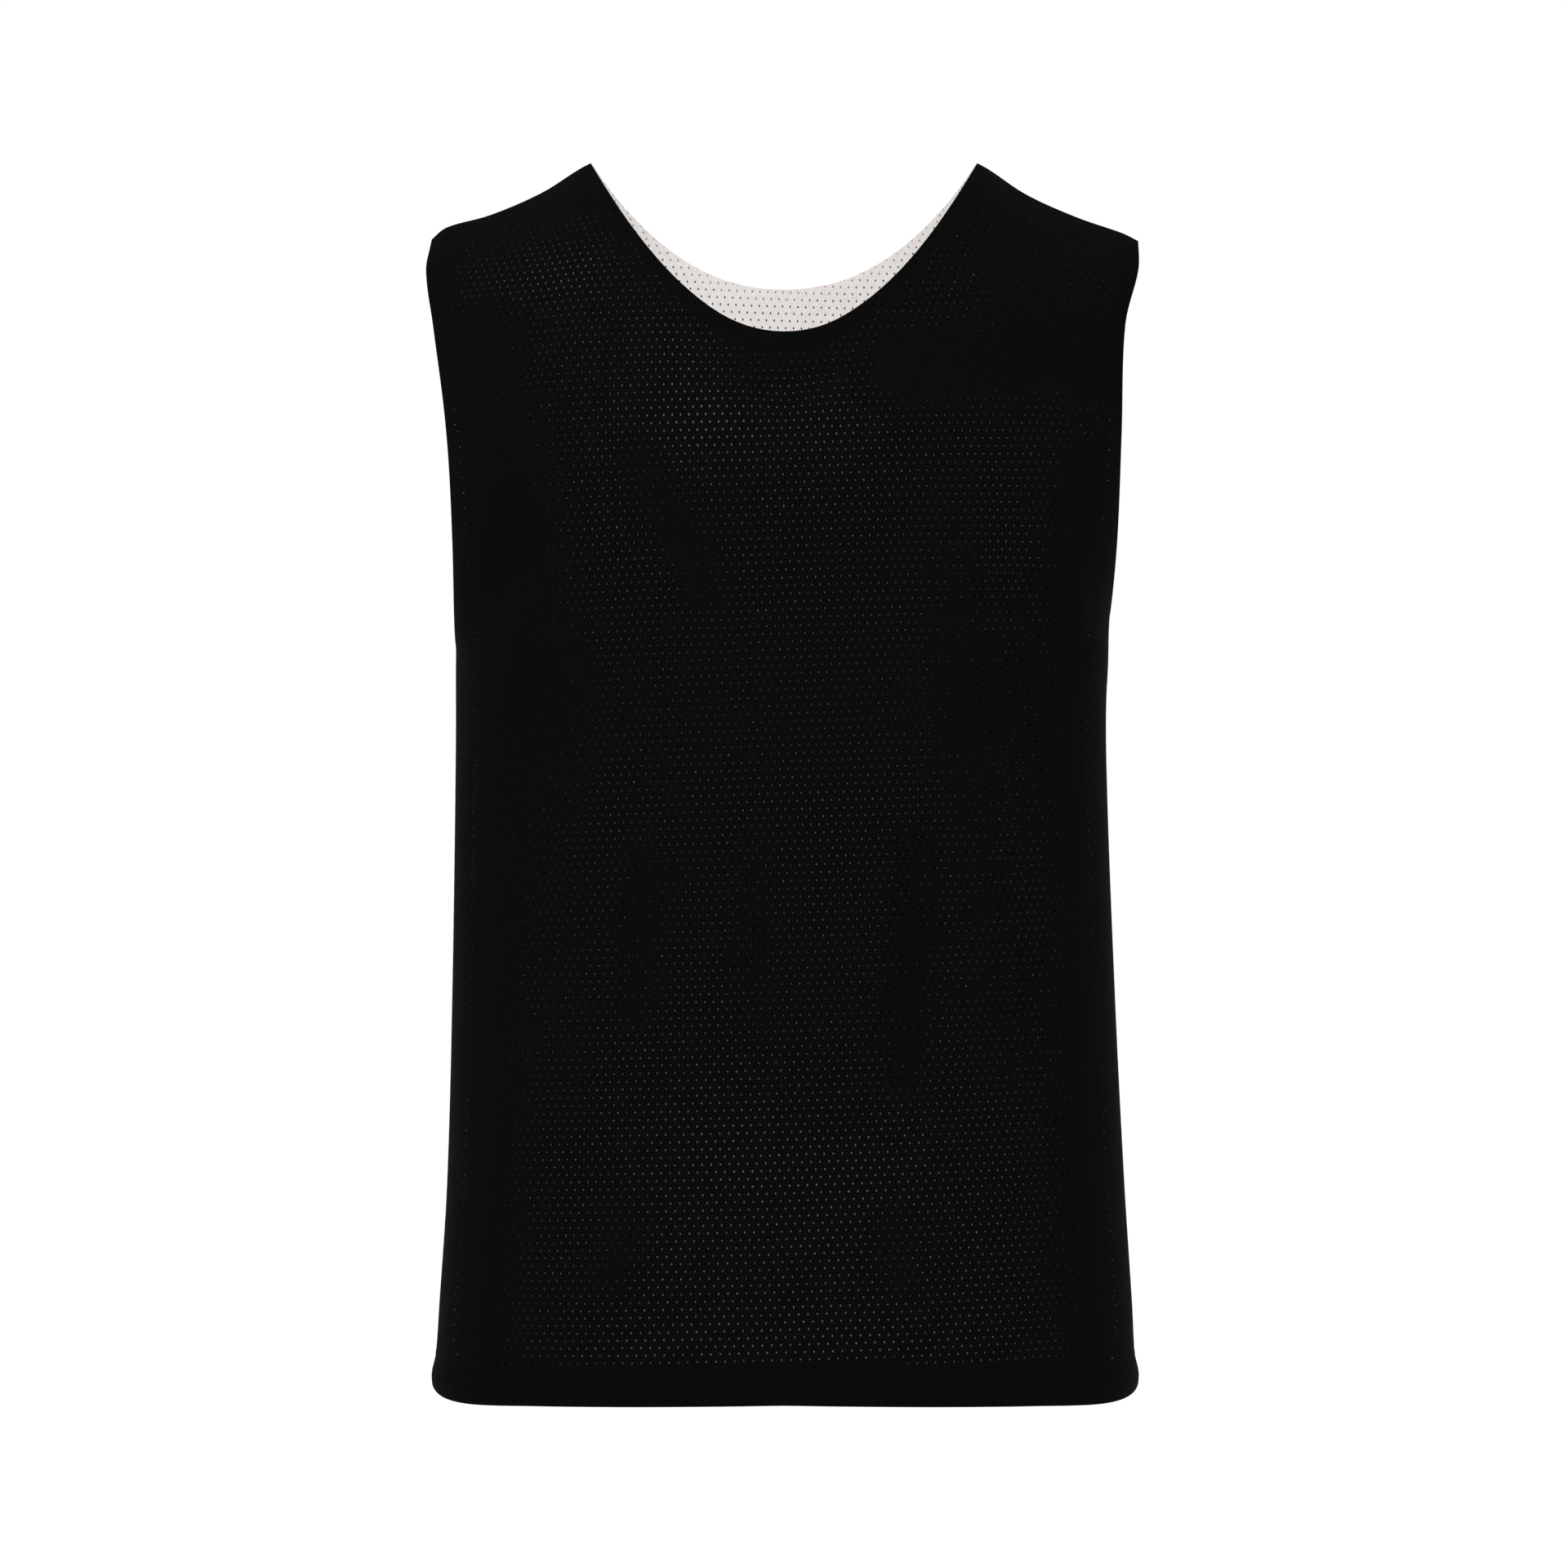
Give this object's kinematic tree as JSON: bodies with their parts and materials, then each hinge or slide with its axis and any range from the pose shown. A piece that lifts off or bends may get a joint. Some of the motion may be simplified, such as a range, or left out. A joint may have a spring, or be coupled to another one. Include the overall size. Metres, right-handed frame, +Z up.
{
  "type": "reversible lacrosse jersey",
  "caption": "Sleeveless reversible lacrosse jersey in perforated mesh, black outside and white inside, filled out as it is worn.",
  "frame": {"origin": "midway between the two shoulder seams at their mean height, where the wearer's shoulders hold the jersey", "axes": "+Z up, the front faces -Y, +X to the right of someone facing the front"},
  "size_m": [0.4113, 0.2348, 0.7119],
  "materials": {
    "black_mesh": "soft black polyester warp knit with small round holes",
    "white_mesh": "soft white polyester warp knit with small round holes"
  },
  "bodies": {
    "root": {"outer_front": "black_mesh", "outer_back": "black_mesh", "inner_front": "white_mesh", "inner_back": "white_mesh"}
  },
  "joints": []
}
